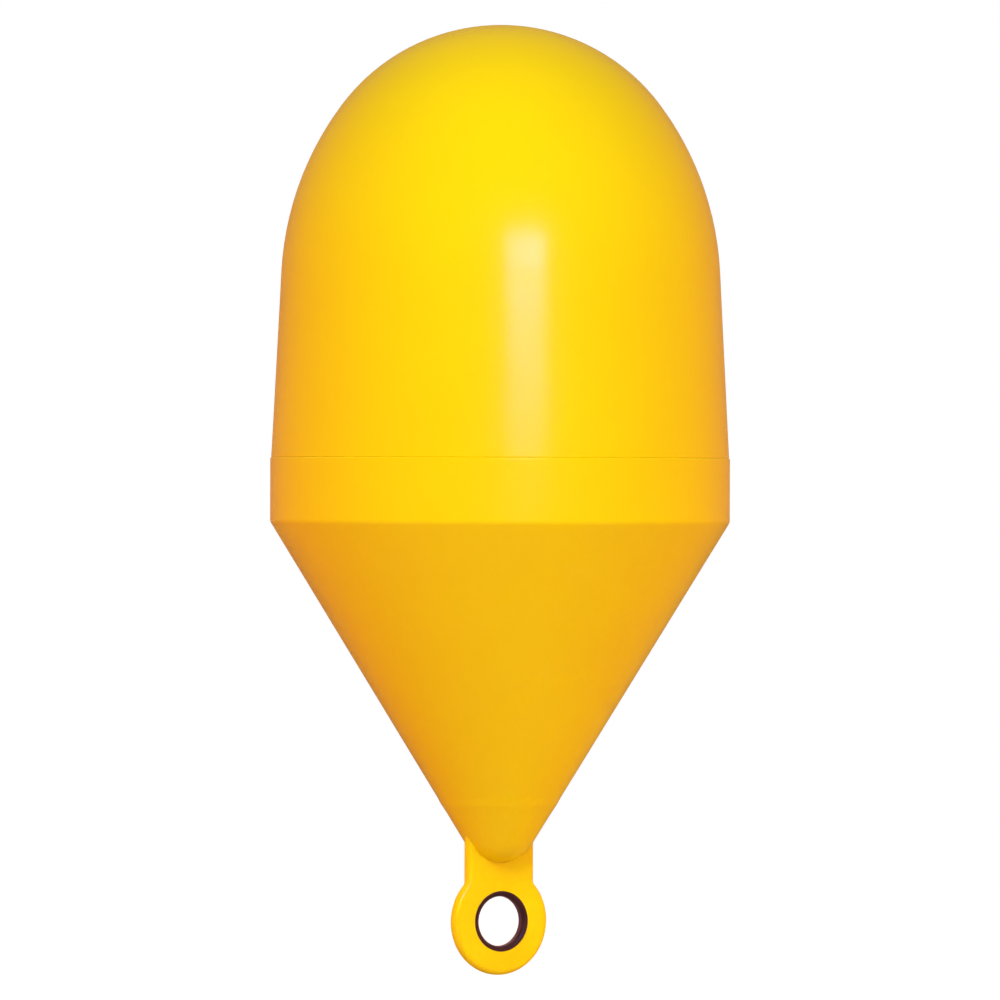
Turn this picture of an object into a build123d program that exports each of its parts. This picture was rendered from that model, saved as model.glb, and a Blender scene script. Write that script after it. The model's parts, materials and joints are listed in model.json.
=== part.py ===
from build123d import *
from math import cos, radians, sin, tan
import os

# Mooring marker buoy: a domed upper shell seated in the collar of a conical
# lower shell, with an eye lug clasped in the cone's nose and a bush in the eye.
# Millimetres and degrees. +Z is up the axis of the hull and Z = 0 is the
# shoulder, where the collar meets the cone and the water line lies. The lug's
# plate stands in the XZ plane, so the bore of the eye runs along Y.

# Collar: the rim of the lower shell, which takes the upper shell's spigot
collar_radius = 200.0
collar_height = 56.0
collar_wall = 4.0
collar_rim_rounding = 1.6
shoulder_rounding = 7.0

# Upper shell: a drafted wall, a shoulder arc and a spherical crown, all tangent
collar_step = 0.8  # the collar stands this far proud of the foot of the wall
upper_wall = 4.0
wall_draft = 2.95
wall_height = 161.5
wall_foot_rounding = 0.5
crown_radius = 172.8
crown_half_angle = 53.4  # from the axis to the edge of the crown

# Lap joint: a spigot below the wall, inside the collar
spigot_length = 40.0
spigot_wall = 4.0
spigot_clearance = 0.3
spigot_lead = 1.5
joggle_height = 8.0  # the inside slopes in to the spigot over this height

# Cone, its rounded nose, and the low lip round it where the mould's tip meets the cone
cone_half_angle = 31.4
cone_wall = 4.0
nose_radius = 33.4
lip_above_tip = 51.5  # height of the lip's edge
lip_proud = 0.35
lip_rise = 5.5  # the cone swells out to the edge over this height
lip_fall = 8.0  # and comes back in over this one

# Eye lug: a plate whose tang fills a slot in the solid nose
lug_width = 66.6
lug_thickness = 10.0
lug_rounding = 4.5
neck_rounding = 5.0
eye_radius = 46.8
eye_below_tip = 50.3
tang_above_tip = 44.0
slot_clearance = 0.15
nose_cover = 12.0  # solid nose above the tang

# Bush in the eye, with lips rounded for a rope or shackle
bush_outer_radius = 26.3
bush_wall = 4.7
bush_clearance = 0.05
bush_proud = 0.6
bush_lip_rounding = 3.6
bush_chamfer = 0.4

# Radii and heights that follow from the sizes above
wall_radius = collar_radius - collar_step
spigot_radius = collar_radius - collar_wall - spigot_clearance
nose_centre = (nose_radius / sin(radians(cone_half_angle))
               - collar_radius / tan(radians(cone_half_angle)))
nose_tip = nose_centre - nose_radius
tang_top = nose_tip + tang_above_tip
eye_centre = nose_tip - eye_below_tip
cavity_floor = tang_top + nose_cover
lip_height = nose_tip + lip_above_tip


def polar(centre, radius, angle):
    """Point at a radius from a centre, with the angle measured up from +X."""
    return (centre[0] + radius * cos(radians(angle)),
            centre[1] + radius * sin(radians(angle)))


def arc(centre, radius, start, end):
    """Arc about a centre, between two angles measured up from +X."""
    return ThreePointArc(polar(centre, radius, start),
                         polar(centre, radius, (start + end) / 2),
                         polar(centre, radius, end))


def corner_near(section, point):
    """The section's corner nearest to a point."""
    return section.vertices().sort_by_distance(Vector(point[0], point[1], 0))[0]


def rounded_corner(section, point, radius):
    """The section with its corner nearest to a point rounded off."""
    return fillet(corner_near(section, point), radius)


def revolved(section):
    """Solid swept by a section, drawn in X and Z, turned about the hull's axis."""
    return revolve(Plane.XZ * section, Axis.Z)


def cone_point(height, inset=0.0):
    """Point on the cone at a height, or on the surface inset into its wall."""
    slope = radians(cone_half_angle)
    return (collar_radius + height * tan(slope) - inset / cos(slope), height)


def upper_shell():
    """Crown, shoulder and drafted wall, stepped in at the foot to the spigot."""
    draft = radians(wall_draft)
    crown_edge = 90 - crown_half_angle
    foot = (wall_radius, collar_height)
    wall_top = (wall_radius - wall_height * tan(draft), collar_height + wall_height)
    inner_foot = (wall_radius - upper_wall / cos(draft) - joggle_height * tan(draft),
                  collar_height + joggle_height)
    spigot_bore = spigot_radius - spigot_wall
    spigot_foot = collar_height - spigot_length

    # The shoulder arc leaves the wall at its draft and runs into the crown at the crown's edge.
    shoulder_reach = wall_top[0] - crown_radius * cos(radians(crown_edge))
    shoulder_radius = shoulder_reach / (cos(draft) - cos(radians(crown_edge)))
    shoulder_centre = polar(wall_top, -shoulder_radius, wall_draft)
    crown_start = polar(shoulder_centre, shoulder_radius, crown_edge)
    crown_centre = (0, crown_start[1] - crown_radius * sin(radians(crown_edge)))

    outer_crown = arc(crown_centre, crown_radius, 90, crown_edge)
    outer_shoulder = arc(shoulder_centre, shoulder_radius, crown_edge, wall_draft)
    inner_shoulder = arc(shoulder_centre, shoulder_radius - upper_wall, wall_draft, crown_edge)
    inner_crown = arc(crown_centre, crown_radius - upper_wall, crown_edge, 90)
    wall_and_spigot = Polyline(
        outer_shoulder @ 1,
        foot,
        (spigot_radius, collar_height),
        (spigot_radius, spigot_foot + spigot_lead),
        (spigot_radius - spigot_lead, spigot_foot),
        (spigot_bore, spigot_foot),
        (spigot_bore, collar_height),
        inner_foot,
        inner_shoulder @ 0,
    )
    apex = Line(inner_crown @ 1, outer_crown @ 0)
    section = make_face([outer_crown, outer_shoulder, wall_and_spigot,
                         inner_shoulder, inner_crown, apex])
    return revolved(rounded_corner(section, foot, wall_foot_rounding))


def lower_shell():
    """Collar and cone as one open cup, solid in the nose round the tang's slot."""
    slope = radians(cone_half_angle)
    rim = (collar_radius, collar_height)
    shoulder = cone_point(0)
    bore = collar_radius - collar_wall
    inner_shoulder_height = (bore - cone_point(0, cone_wall)[0]) / tan(slope)
    nose = arc((0, nose_centre), nose_radius, -cone_half_angle, -90)

    inside = [(0, cavity_floor), cone_point(cavity_floor, cone_wall),
              (bore, inner_shoulder_height), (bore, collar_height)]
    lip = [cone_point(lip_height + lip_rise), cone_point(lip_height, -lip_proud),
           cone_point(lip_height - lip_fall)]
    section = make_face([
        Polyline(*inside, rim, shoulder, *lip, nose @ 0),
        nose,
        Line(nose @ 1, (0, cavity_floor)),
    ])
    section = rounded_corner(section, rim, collar_rim_rounding)
    section = rounded_corner(section, shoulder, shoulder_rounding)

    slot = RectangleRounded(lug_width + 2 * slot_clearance,
                            lug_thickness + 2 * slot_clearance,
                            lug_rounding + slot_clearance)
    slot_reach = tang_top - nose_tip + slot_clearance
    return revolved(section) - Pos(0, 0, tang_top) * extrude(slot, -slot_reach)


def eye_lug():
    """Plate rounded all round its long edges: tang above, ring eye below."""
    tang_length = tang_top - eye_centre
    outline = Pos(0, tang_length / 2) * Rectangle(lug_width, tang_length) + Circle(eye_radius)
    neck_height = (eye_radius ** 2 - (lug_width / 2) ** 2) ** 0.5
    for side in (-1, 1):
        outline = rounded_corner(outline, (side * lug_width / 2, neck_height), neck_rounding)

    plate = extrude(outline, lug_thickness / 2, both=True)
    tang_end = plate.faces().sort_by(Axis.Y)[-1]
    long_edges = plate.faces().filter_by(Axis.Z).edges() - tang_end.edges()
    plate = fillet(long_edges, lug_rounding)
    plate -= Cylinder(bush_outer_radius + bush_clearance, 2 * lug_thickness)
    return Pos(0, 0, eye_centre) * Rot(90, 0, 0) * plate


def eye_bush():
    """Sleeve a little proud of both faces of the lug, its bore flared by round lips."""
    length = lug_thickness + 2 * bush_proud
    wall_middle = bush_outer_radius - bush_wall / 2
    section = Pos(wall_middle, 0) * Rectangle(bush_wall, length)
    for end in (-1, 1):
        inner_corner = (bush_outer_radius - bush_wall, end * length / 2)
        section = rounded_corner(section, inner_corner, bush_lip_rounding)
    for end in (-1, 1):
        outer_corner = (bush_outer_radius, end * length / 2)
        section = chamfer(corner_near(section, outer_corner), bush_chamfer)
    return Pos(0, 0, eye_centre) * Rot(90, 0, 0) * revolved(section)


os.makedirs("parts", exist_ok=True)
nodes = {
    "upper_shell": upper_shell(),
    "lower_shell": lower_shell(),
    "eye_lug": eye_lug(),
    "eye_bush": eye_bush(),
}
for name, solid in nodes.items():
    export_step(solid, f"parts/{name}.step")
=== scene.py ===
import json
from math import cos, radians, sin

import bpy
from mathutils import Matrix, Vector


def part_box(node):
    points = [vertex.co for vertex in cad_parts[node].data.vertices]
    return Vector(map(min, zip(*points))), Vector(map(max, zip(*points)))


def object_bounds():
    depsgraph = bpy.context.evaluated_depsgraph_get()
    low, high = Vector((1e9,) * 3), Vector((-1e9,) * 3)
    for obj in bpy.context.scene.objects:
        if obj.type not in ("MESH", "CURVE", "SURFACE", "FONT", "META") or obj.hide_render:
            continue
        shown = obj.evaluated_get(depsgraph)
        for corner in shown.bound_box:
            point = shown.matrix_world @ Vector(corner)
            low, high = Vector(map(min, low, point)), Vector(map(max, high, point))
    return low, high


# Looks, floor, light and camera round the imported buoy. Metres, +Z up. Azimuths are
# degrees round +Z from straight in front of the lug's -Y face, positive towards +X.

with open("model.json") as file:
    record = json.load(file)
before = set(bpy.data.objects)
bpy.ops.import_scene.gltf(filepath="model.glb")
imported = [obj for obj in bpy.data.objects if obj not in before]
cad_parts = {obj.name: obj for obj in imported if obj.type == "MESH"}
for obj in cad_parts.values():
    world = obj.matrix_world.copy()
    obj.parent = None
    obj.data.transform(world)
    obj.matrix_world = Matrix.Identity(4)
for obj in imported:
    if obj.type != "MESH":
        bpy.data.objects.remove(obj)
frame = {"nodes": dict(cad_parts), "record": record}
cad_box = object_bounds()

# Camera: a long way off and level with the collar, turned a little off the bore of the eye
CAMERA_AZIMUTH = -29.5
CAMERA_DISTANCE = 8.0
CAMERA_HEIGHT = 0.035
CAMERA_LENS = 331.0
CAMERA_ROLL = 0.19

# Floor, background and ambient light
FLOOR_SIZE = 14.0
FLOOR_GAP = 0.30  # from the eye down to the floor, so no shadow of it is in the main view
FLOOR_COLOUR = (0.40, 0.41, 0.43, 1)
FLOOR_GLOW = 0.60  # white given to the floor under the buoy
FLOOR_SHADE = (0.4, 1.6)  # distances between which the floor turns wholly white
WHITE = (1, 1, 1, 1)
MIRRORED_BACKGROUND = 0.10  # share of the white background that glossy rays meet
AMBIENT_COLOUR = (1.0, 0.40, 0.20, 1)
AMBIENT_STRENGTH = 0.29

# Softboxes: azimuth from the camera, elevation, distance, width, height, colour, watts.
# They are set for the camera's side. The warm ones make an orange band on the others.
SOFTBOXES = {
    "key": (-8, 29, 2.4, 1.0, 0.8, (0.91, 1.0, 0.97), 25.5),
    "key_right": (25, 8, 2.4, 1.2, 0.8, (0.91, 1.0, 0.97), 7),
    "key_high": (0, 52, 3.6, 1.8, 1.5, (0.91, 1.0, 0.97), 34),
    "low_left": (-80, -20, 1.4, 0.8, 0.4, (1.0, 0.22, 0.08), 5.2),
    "low_right": (80, -20, 1.4, 0.8, 0.4, (1.0, 0.40, 0.20), 5.0),
    "low_middle": (0, -24, 1.4, 0.8, 0.3, (1.0, 0.35, 0.15), 3),
    "rim_left": (-125, 0, 1.8, 0.8, 1.4, (1.0, 0.50, 0.30), 11),
    "rim_right": (125, 0, 1.8, 0.8, 1.4, (1.0, 0.50, 0.30), 15),
    "back_fill": (180, 30, 2.4, 2.0, 1.4, (1.0, 0.90, 0.80), 45),
}
OPEN_BEAM = 180.0
# A narrow softbox on the eye, which is brighter than the cone above it
EYE_LAMP = (45, 35, 1.1, 0.15, 0.15, (0.85, 1.0, 0.9), 0.045)
EYE_BEAM = 26.0
# The gleam lights nothing and is only mirrored in the gloss
GLEAMS = {
    "strip": (12.8, 16.9, 2.1, 0.64, 0.55, (0.12, 0.24, 1.0), 12.8),
}

# Noise is given as lumps per metre and octaves, a bump as depth in metres and strength.
# Yellow polyethylene of the hull and lug
YELLOW = (0.97, 0.748, 0.0, 1)
YELLOW_DEEP = (0.955, 0.73, 0.0, 1)
YELLOW_CLOUDS = (9.0, 4.0)
WALL_WAVES = (14.0, 1.0)
WALL_WAVES_BUMP = (0.0012, 0.2)
SKIN = (420.0, 3.0)
SKIN_BUMP = (0.00004, 0.25)
YELLOW_GLOSS = (30.0, 4.0)
YELLOW_ROUGHNESS = (0.20, 0.24)

# Dark nylon of the bush
BUSH_BROWN = (0.056, 0.013, 0.017, 1)
BUSH_BLACK = (0.034, 0.010, 0.014, 1)
BUSH_BLOTCHES = (60.0, 3.0)
BUSH_GRAIN = (900.0, 2.0)
BUSH_GRAIN_BUMP = (0.0001, 0.3)
BUSH_GLOSS = (120.0, 3.0)
BUSH_ROUGHNESS = (0.30, 0.40)
BUSH_SHEEN = 0.5
BUSH_SHEEN_ROUGHNESS = 0.4
BUSH_SHEEN_TINT = (0.80, 0.50, 0.68, 1)

NOISE_MIDDLE = (0.35, 0.65)  # where most of the noise lies, which is stretched onto a range

# Sockets of a Mix node that mixes colours, which share their names with its other kinds
MIX_FACTOR = 0
MIX_FIRST = 6
MIX_SECOND = 7
MIX_RESULT = 2


def around(azimuth, elevation, distance):
    """Point seen from the origin in a direction, at a distance."""
    level = distance * cos(radians(elevation))
    return Vector((level * sin(radians(azimuth)), -level * cos(radians(azimuth)),
                   distance * sin(radians(elevation))))


def aim(obj, target, roll=0.0):
    """Turn a camera or lamp at a target, with a roll in degrees."""
    turn = (target - obj.location).to_track_quat("-Z", "Y")
    obj.rotation_euler = turn.to_euler()
    obj.rotation_euler.rotate_axis("Z", radians(roll))


class Nodes:
    """A node tree that is built by naming each node and linking into its inputs."""

    def __init__(self, owner):
        owner.use_nodes = True
        self.tree = owner.node_tree
        self.tree.nodes.clear()

    def add(self, kind, settings=None, **inputs):
        """New node, with its settings and with inputs that are sockets or values."""
        node = self.tree.nodes.new(kind)
        for name, value in (settings or {}).items():
            setattr(node, name, value)
        for name, value in inputs.items():
            self.feed(value, node.inputs[name.replace("_", " ")])
        return node

    def feed(self, value, socket):
        """Link an output into a socket, or set the socket to a value."""
        if isinstance(value, bpy.types.NodeSocket):
            self.tree.links.new(value, socket)
        else:
            socket.default_value = value

    def link(self, output, node, socket):
        self.tree.links.new(output, node.inputs[socket])


def noise(nodes, place, scale, detail):
    """Soft noise from 0 to 1, with its scale in lumps per metre."""
    return nodes.add("ShaderNodeTexNoise", Vector=place, Scale=scale, Detail=detail).outputs["Fac"]


def stretched(nodes, value, low, high):
    """Noise stretched onto a range of values."""
    ramp = nodes.add("ShaderNodeMapRange", Value=value, From_Min=NOISE_MIDDLE[0],
                     From_Max=NOISE_MIDDLE[1], To_Min=low, To_Max=high)
    return ramp.outputs["Result"]


def colour_mix(nodes, factor, first, second):
    """Colour between two, by a factor that varies over the surface."""
    mix = nodes.add("ShaderNodeMix", {"data_type": "RGBA"})
    nodes.link(factor, mix, MIX_FACTOR)
    mix.inputs[MIX_FIRST].default_value = first
    mix.inputs[MIX_SECOND].default_value = second
    return mix.outputs[MIX_RESULT]


def bump(nodes, height, distance, strength, normal=None):
    """Normal disturbed by a height, on top of an earlier normal if there is one."""
    node = nodes.add("ShaderNodeBump", Height=height, Distance=distance, Strength=strength)
    if normal is not None:
        nodes.link(normal, node, "Normal")
    return node.outputs["Normal"]


def moulded_yellow():
    """Semi-gloss polyethylene: slow waves in the wall, a fine skin and faint cloudiness."""
    material = bpy.data.materials.new("moulded_yellow")
    nodes = Nodes(material)
    place = nodes.add("ShaderNodeTexCoord").outputs["Object"]
    waves = noise(nodes, place, *WALL_WAVES)
    skin = noise(nodes, place, *SKIN)
    normal = bump(nodes, waves, *WALL_WAVES_BUMP)
    normal = bump(nodes, skin, *SKIN_BUMP, normal)
    cloud = stretched(nodes, noise(nodes, place, *YELLOW_CLOUDS), 0.0, 1.0)
    shader = nodes.add(
        "ShaderNodeBsdfPrincipled",
        Base_Color=colour_mix(nodes, cloud, YELLOW, YELLOW_DEEP),
        Roughness=stretched(nodes, noise(nodes, place, *YELLOW_GLOSS), *YELLOW_ROUGHNESS),
        Normal=normal,
    )
    nodes.add("ShaderNodeOutputMaterial", Surface=shader.outputs["BSDF"])
    return material


def glossy_brown():
    """Dark nylon of the bush: faintly blotched, with a fine grain and a purple-grey sheen."""
    material = bpy.data.materials.new("glossy_brown")
    nodes = Nodes(material)
    place = nodes.add("ShaderNodeTexCoord").outputs["Object"]
    blotch = stretched(nodes, noise(nodes, place, *BUSH_BLOTCHES), 0.0, 1.0)
    grain = noise(nodes, place, *BUSH_GRAIN)
    shader = nodes.add(
        "ShaderNodeBsdfPrincipled",
        Base_Color=colour_mix(nodes, blotch, BUSH_BROWN, BUSH_BLACK),
        Roughness=stretched(nodes, noise(nodes, place, *BUSH_GLOSS), *BUSH_ROUGHNESS),
        Sheen_Weight=BUSH_SHEEN,
        Sheen_Roughness=BUSH_SHEEN_ROUGHNESS,
        Sheen_Tint=BUSH_SHEEN_TINT,
        Normal=bump(nodes, grain, *BUSH_GRAIN_BUMP),
    )
    nodes.add("ShaderNodeOutputMaterial", Surface=shader.outputs["BSDF"])
    return material


def dress(nodes, finishes):
    """Give each CAD node the finish of its material slot in the record."""
    for entry in frame["record"]["subparts"]:
        mesh = nodes[entry["node"]].data
        mesh.materials.clear()
        mesh.materials.append(finishes[entry["material_slot"]])


def maths(nodes, operation, first, second):
    """Output of one maths node, kept from 0 to 1, each input a socket or a number."""
    node = nodes.add("ShaderNodeMath", {"operation": operation, "use_clamp": True})
    nodes.feed(first, node.inputs[0])
    nodes.feed(second, node.inputs[1])
    return node.outputs[0]


def background_share(nodes):
    """How much of the white background a ray meets, and whether the ray is glossy.

    A ray that is seen meets all of it, a mirrored one a share, and one that lights none.
    """
    path = nodes.add("ShaderNodeLightPath").outputs
    seen = maths(nodes, "ADD", path["Is Camera Ray"], path["Is Transmission Ray"])
    mirrored = maths(nodes, "MULTIPLY", path["Is Glossy Ray"], MIRRORED_BACKGROUND)
    return maths(nodes, "ADD", seen, mirrored), path["Is Glossy Ray"]


def set_world():
    """White where it is seen, and a weak warm ambient light for the object."""
    world = bpy.data.worlds.new("studio")
    bpy.context.scene.world = world
    nodes = Nodes(world)
    share, _ = background_share(nodes)
    white = nodes.add("ShaderNodeBackground", Color=WHITE, Strength=1.0)
    ambient = nodes.add("ShaderNodeBackground", Color=AMBIENT_COLOUR, Strength=AMBIENT_STRENGTH)
    mix = nodes.add("ShaderNodeMixShader")
    nodes.link(share, mix, 0)
    nodes.link(ambient.outputs[0], mix, 1)
    nodes.link(white.outputs[0], mix, 2)
    nodes.add("ShaderNodeOutputWorld", Surface=mix.outputs[0])


def lay_floor(height):
    """Plain pale floor that runs into the white further out. The shadow on it is very faint."""
    bpy.ops.mesh.primitive_plane_add(size=FLOOR_SIZE, location=(0, 0, height))
    floor = bpy.context.object
    floor.name = "studio_floor"
    material = bpy.data.materials.new("floor_white")
    nodes = Nodes(material)
    share, glossy = background_share(nodes)
    place = nodes.add("ShaderNodeTexCoord").outputs["Object"]
    reach = nodes.add("ShaderNodeVectorMath", {"operation": "LENGTH"})
    nodes.link(place, reach, 0)
    whiteness = nodes.add("ShaderNodeMapRange", {"interpolation_type": "SMOOTHSTEP"},
                          Value=reach.outputs["Value"], From_Min=FLOOR_SHADE[0],
                          From_Max=FLOOR_SHADE[1], To_Min=FLOOR_GLOW, To_Max=1.0)
    strength = maths(nodes, "MULTIPLY", share, whiteness.outputs["Result"])
    glow = nodes.add("ShaderNodeEmission", Color=WHITE, Strength=strength)
    matt = nodes.add("ShaderNodeBsdfDiffuse", Color=FLOOR_COLOUR)
    lit = nodes.add("ShaderNodeAddShader")
    nodes.link(matt.outputs[0], lit, 0)
    nodes.link(glow.outputs[0], lit, 1)
    # Gloss mirrors the glow alone, and so none of the light that falls on the floor
    choice = nodes.add("ShaderNodeMixShader")
    nodes.link(glossy, choice, 0)
    nodes.link(lit.outputs[0], choice, 1)
    nodes.link(glow.outputs[0], choice, 2)
    nodes.add("ShaderNodeOutputMaterial", Surface=choice.outputs[0])
    floor.data.materials.append(material)


def hang_lamp(name, target, setting, gleam=False, beam=OPEN_BEAM):
    """Area lamp aimed at a target: a softbox, or a gleam for the gloss alone."""
    azimuth, elevation, distance, width, height, colour, watts = setting
    light = bpy.data.lights.new(name, "AREA")
    light.shape = "RECTANGLE"
    light.size = width
    light.size_y = height
    light.color = colour
    light.energy = watts
    light.spread = radians(beam)
    lamp = bpy.data.objects.new(name, light)
    lamp.location = target + around(CAMERA_AZIMUTH + azimuth, elevation, distance)
    lamp.visible_camera = False
    lamp.visible_diffuse = not gleam
    lamp.visible_glossy = gleam
    # With importance sampling a softbox still shows faintly in the gloss
    light.cycles.use_multiple_importance_sampling = gleam
    bpy.context.scene.collection.objects.link(lamp)
    aim(lamp, target)


def set_camera(target):
    """Long lens at the photograph's viewing angle, aimed at a target."""
    camera = bpy.data.objects.new("camera", bpy.data.cameras.new("camera"))
    camera.data.lens = CAMERA_LENS
    camera.location = around(CAMERA_AZIMUTH, 0, CAMERA_DISTANCE) + Vector((0, 0, CAMERA_HEIGHT))
    bpy.context.scene.collection.objects.link(camera)
    aim(camera, target, CAMERA_ROLL)
    bpy.context.scene.camera = camera


def main():
    """Dress the buoy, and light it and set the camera."""
    lowest, highest = (Vector(corner) for corner in cad_box)
    middle = (lowest + highest) / 2
    dress(frame["nodes"], {"hull_yellow": moulded_yellow(), "bush_dark": glossy_brown()})
    set_world()
    lay_floor(lowest.z - FLOOR_GAP)
    for name, setting in SOFTBOXES.items():
        hang_lamp(name, middle, setting)
    eye_low, eye_high = (Vector(corner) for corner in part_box("eye_bush"))
    hang_lamp("eye", (eye_low + eye_high) / 2, EYE_LAMP, beam=EYE_BEAM)
    for name, setting in GLEAMS.items():
        hang_lamp(name, middle, setting, gleam=True)
    set_camera(middle)
    bpy.context.scene.view_settings.view_transform = "Standard"


main()
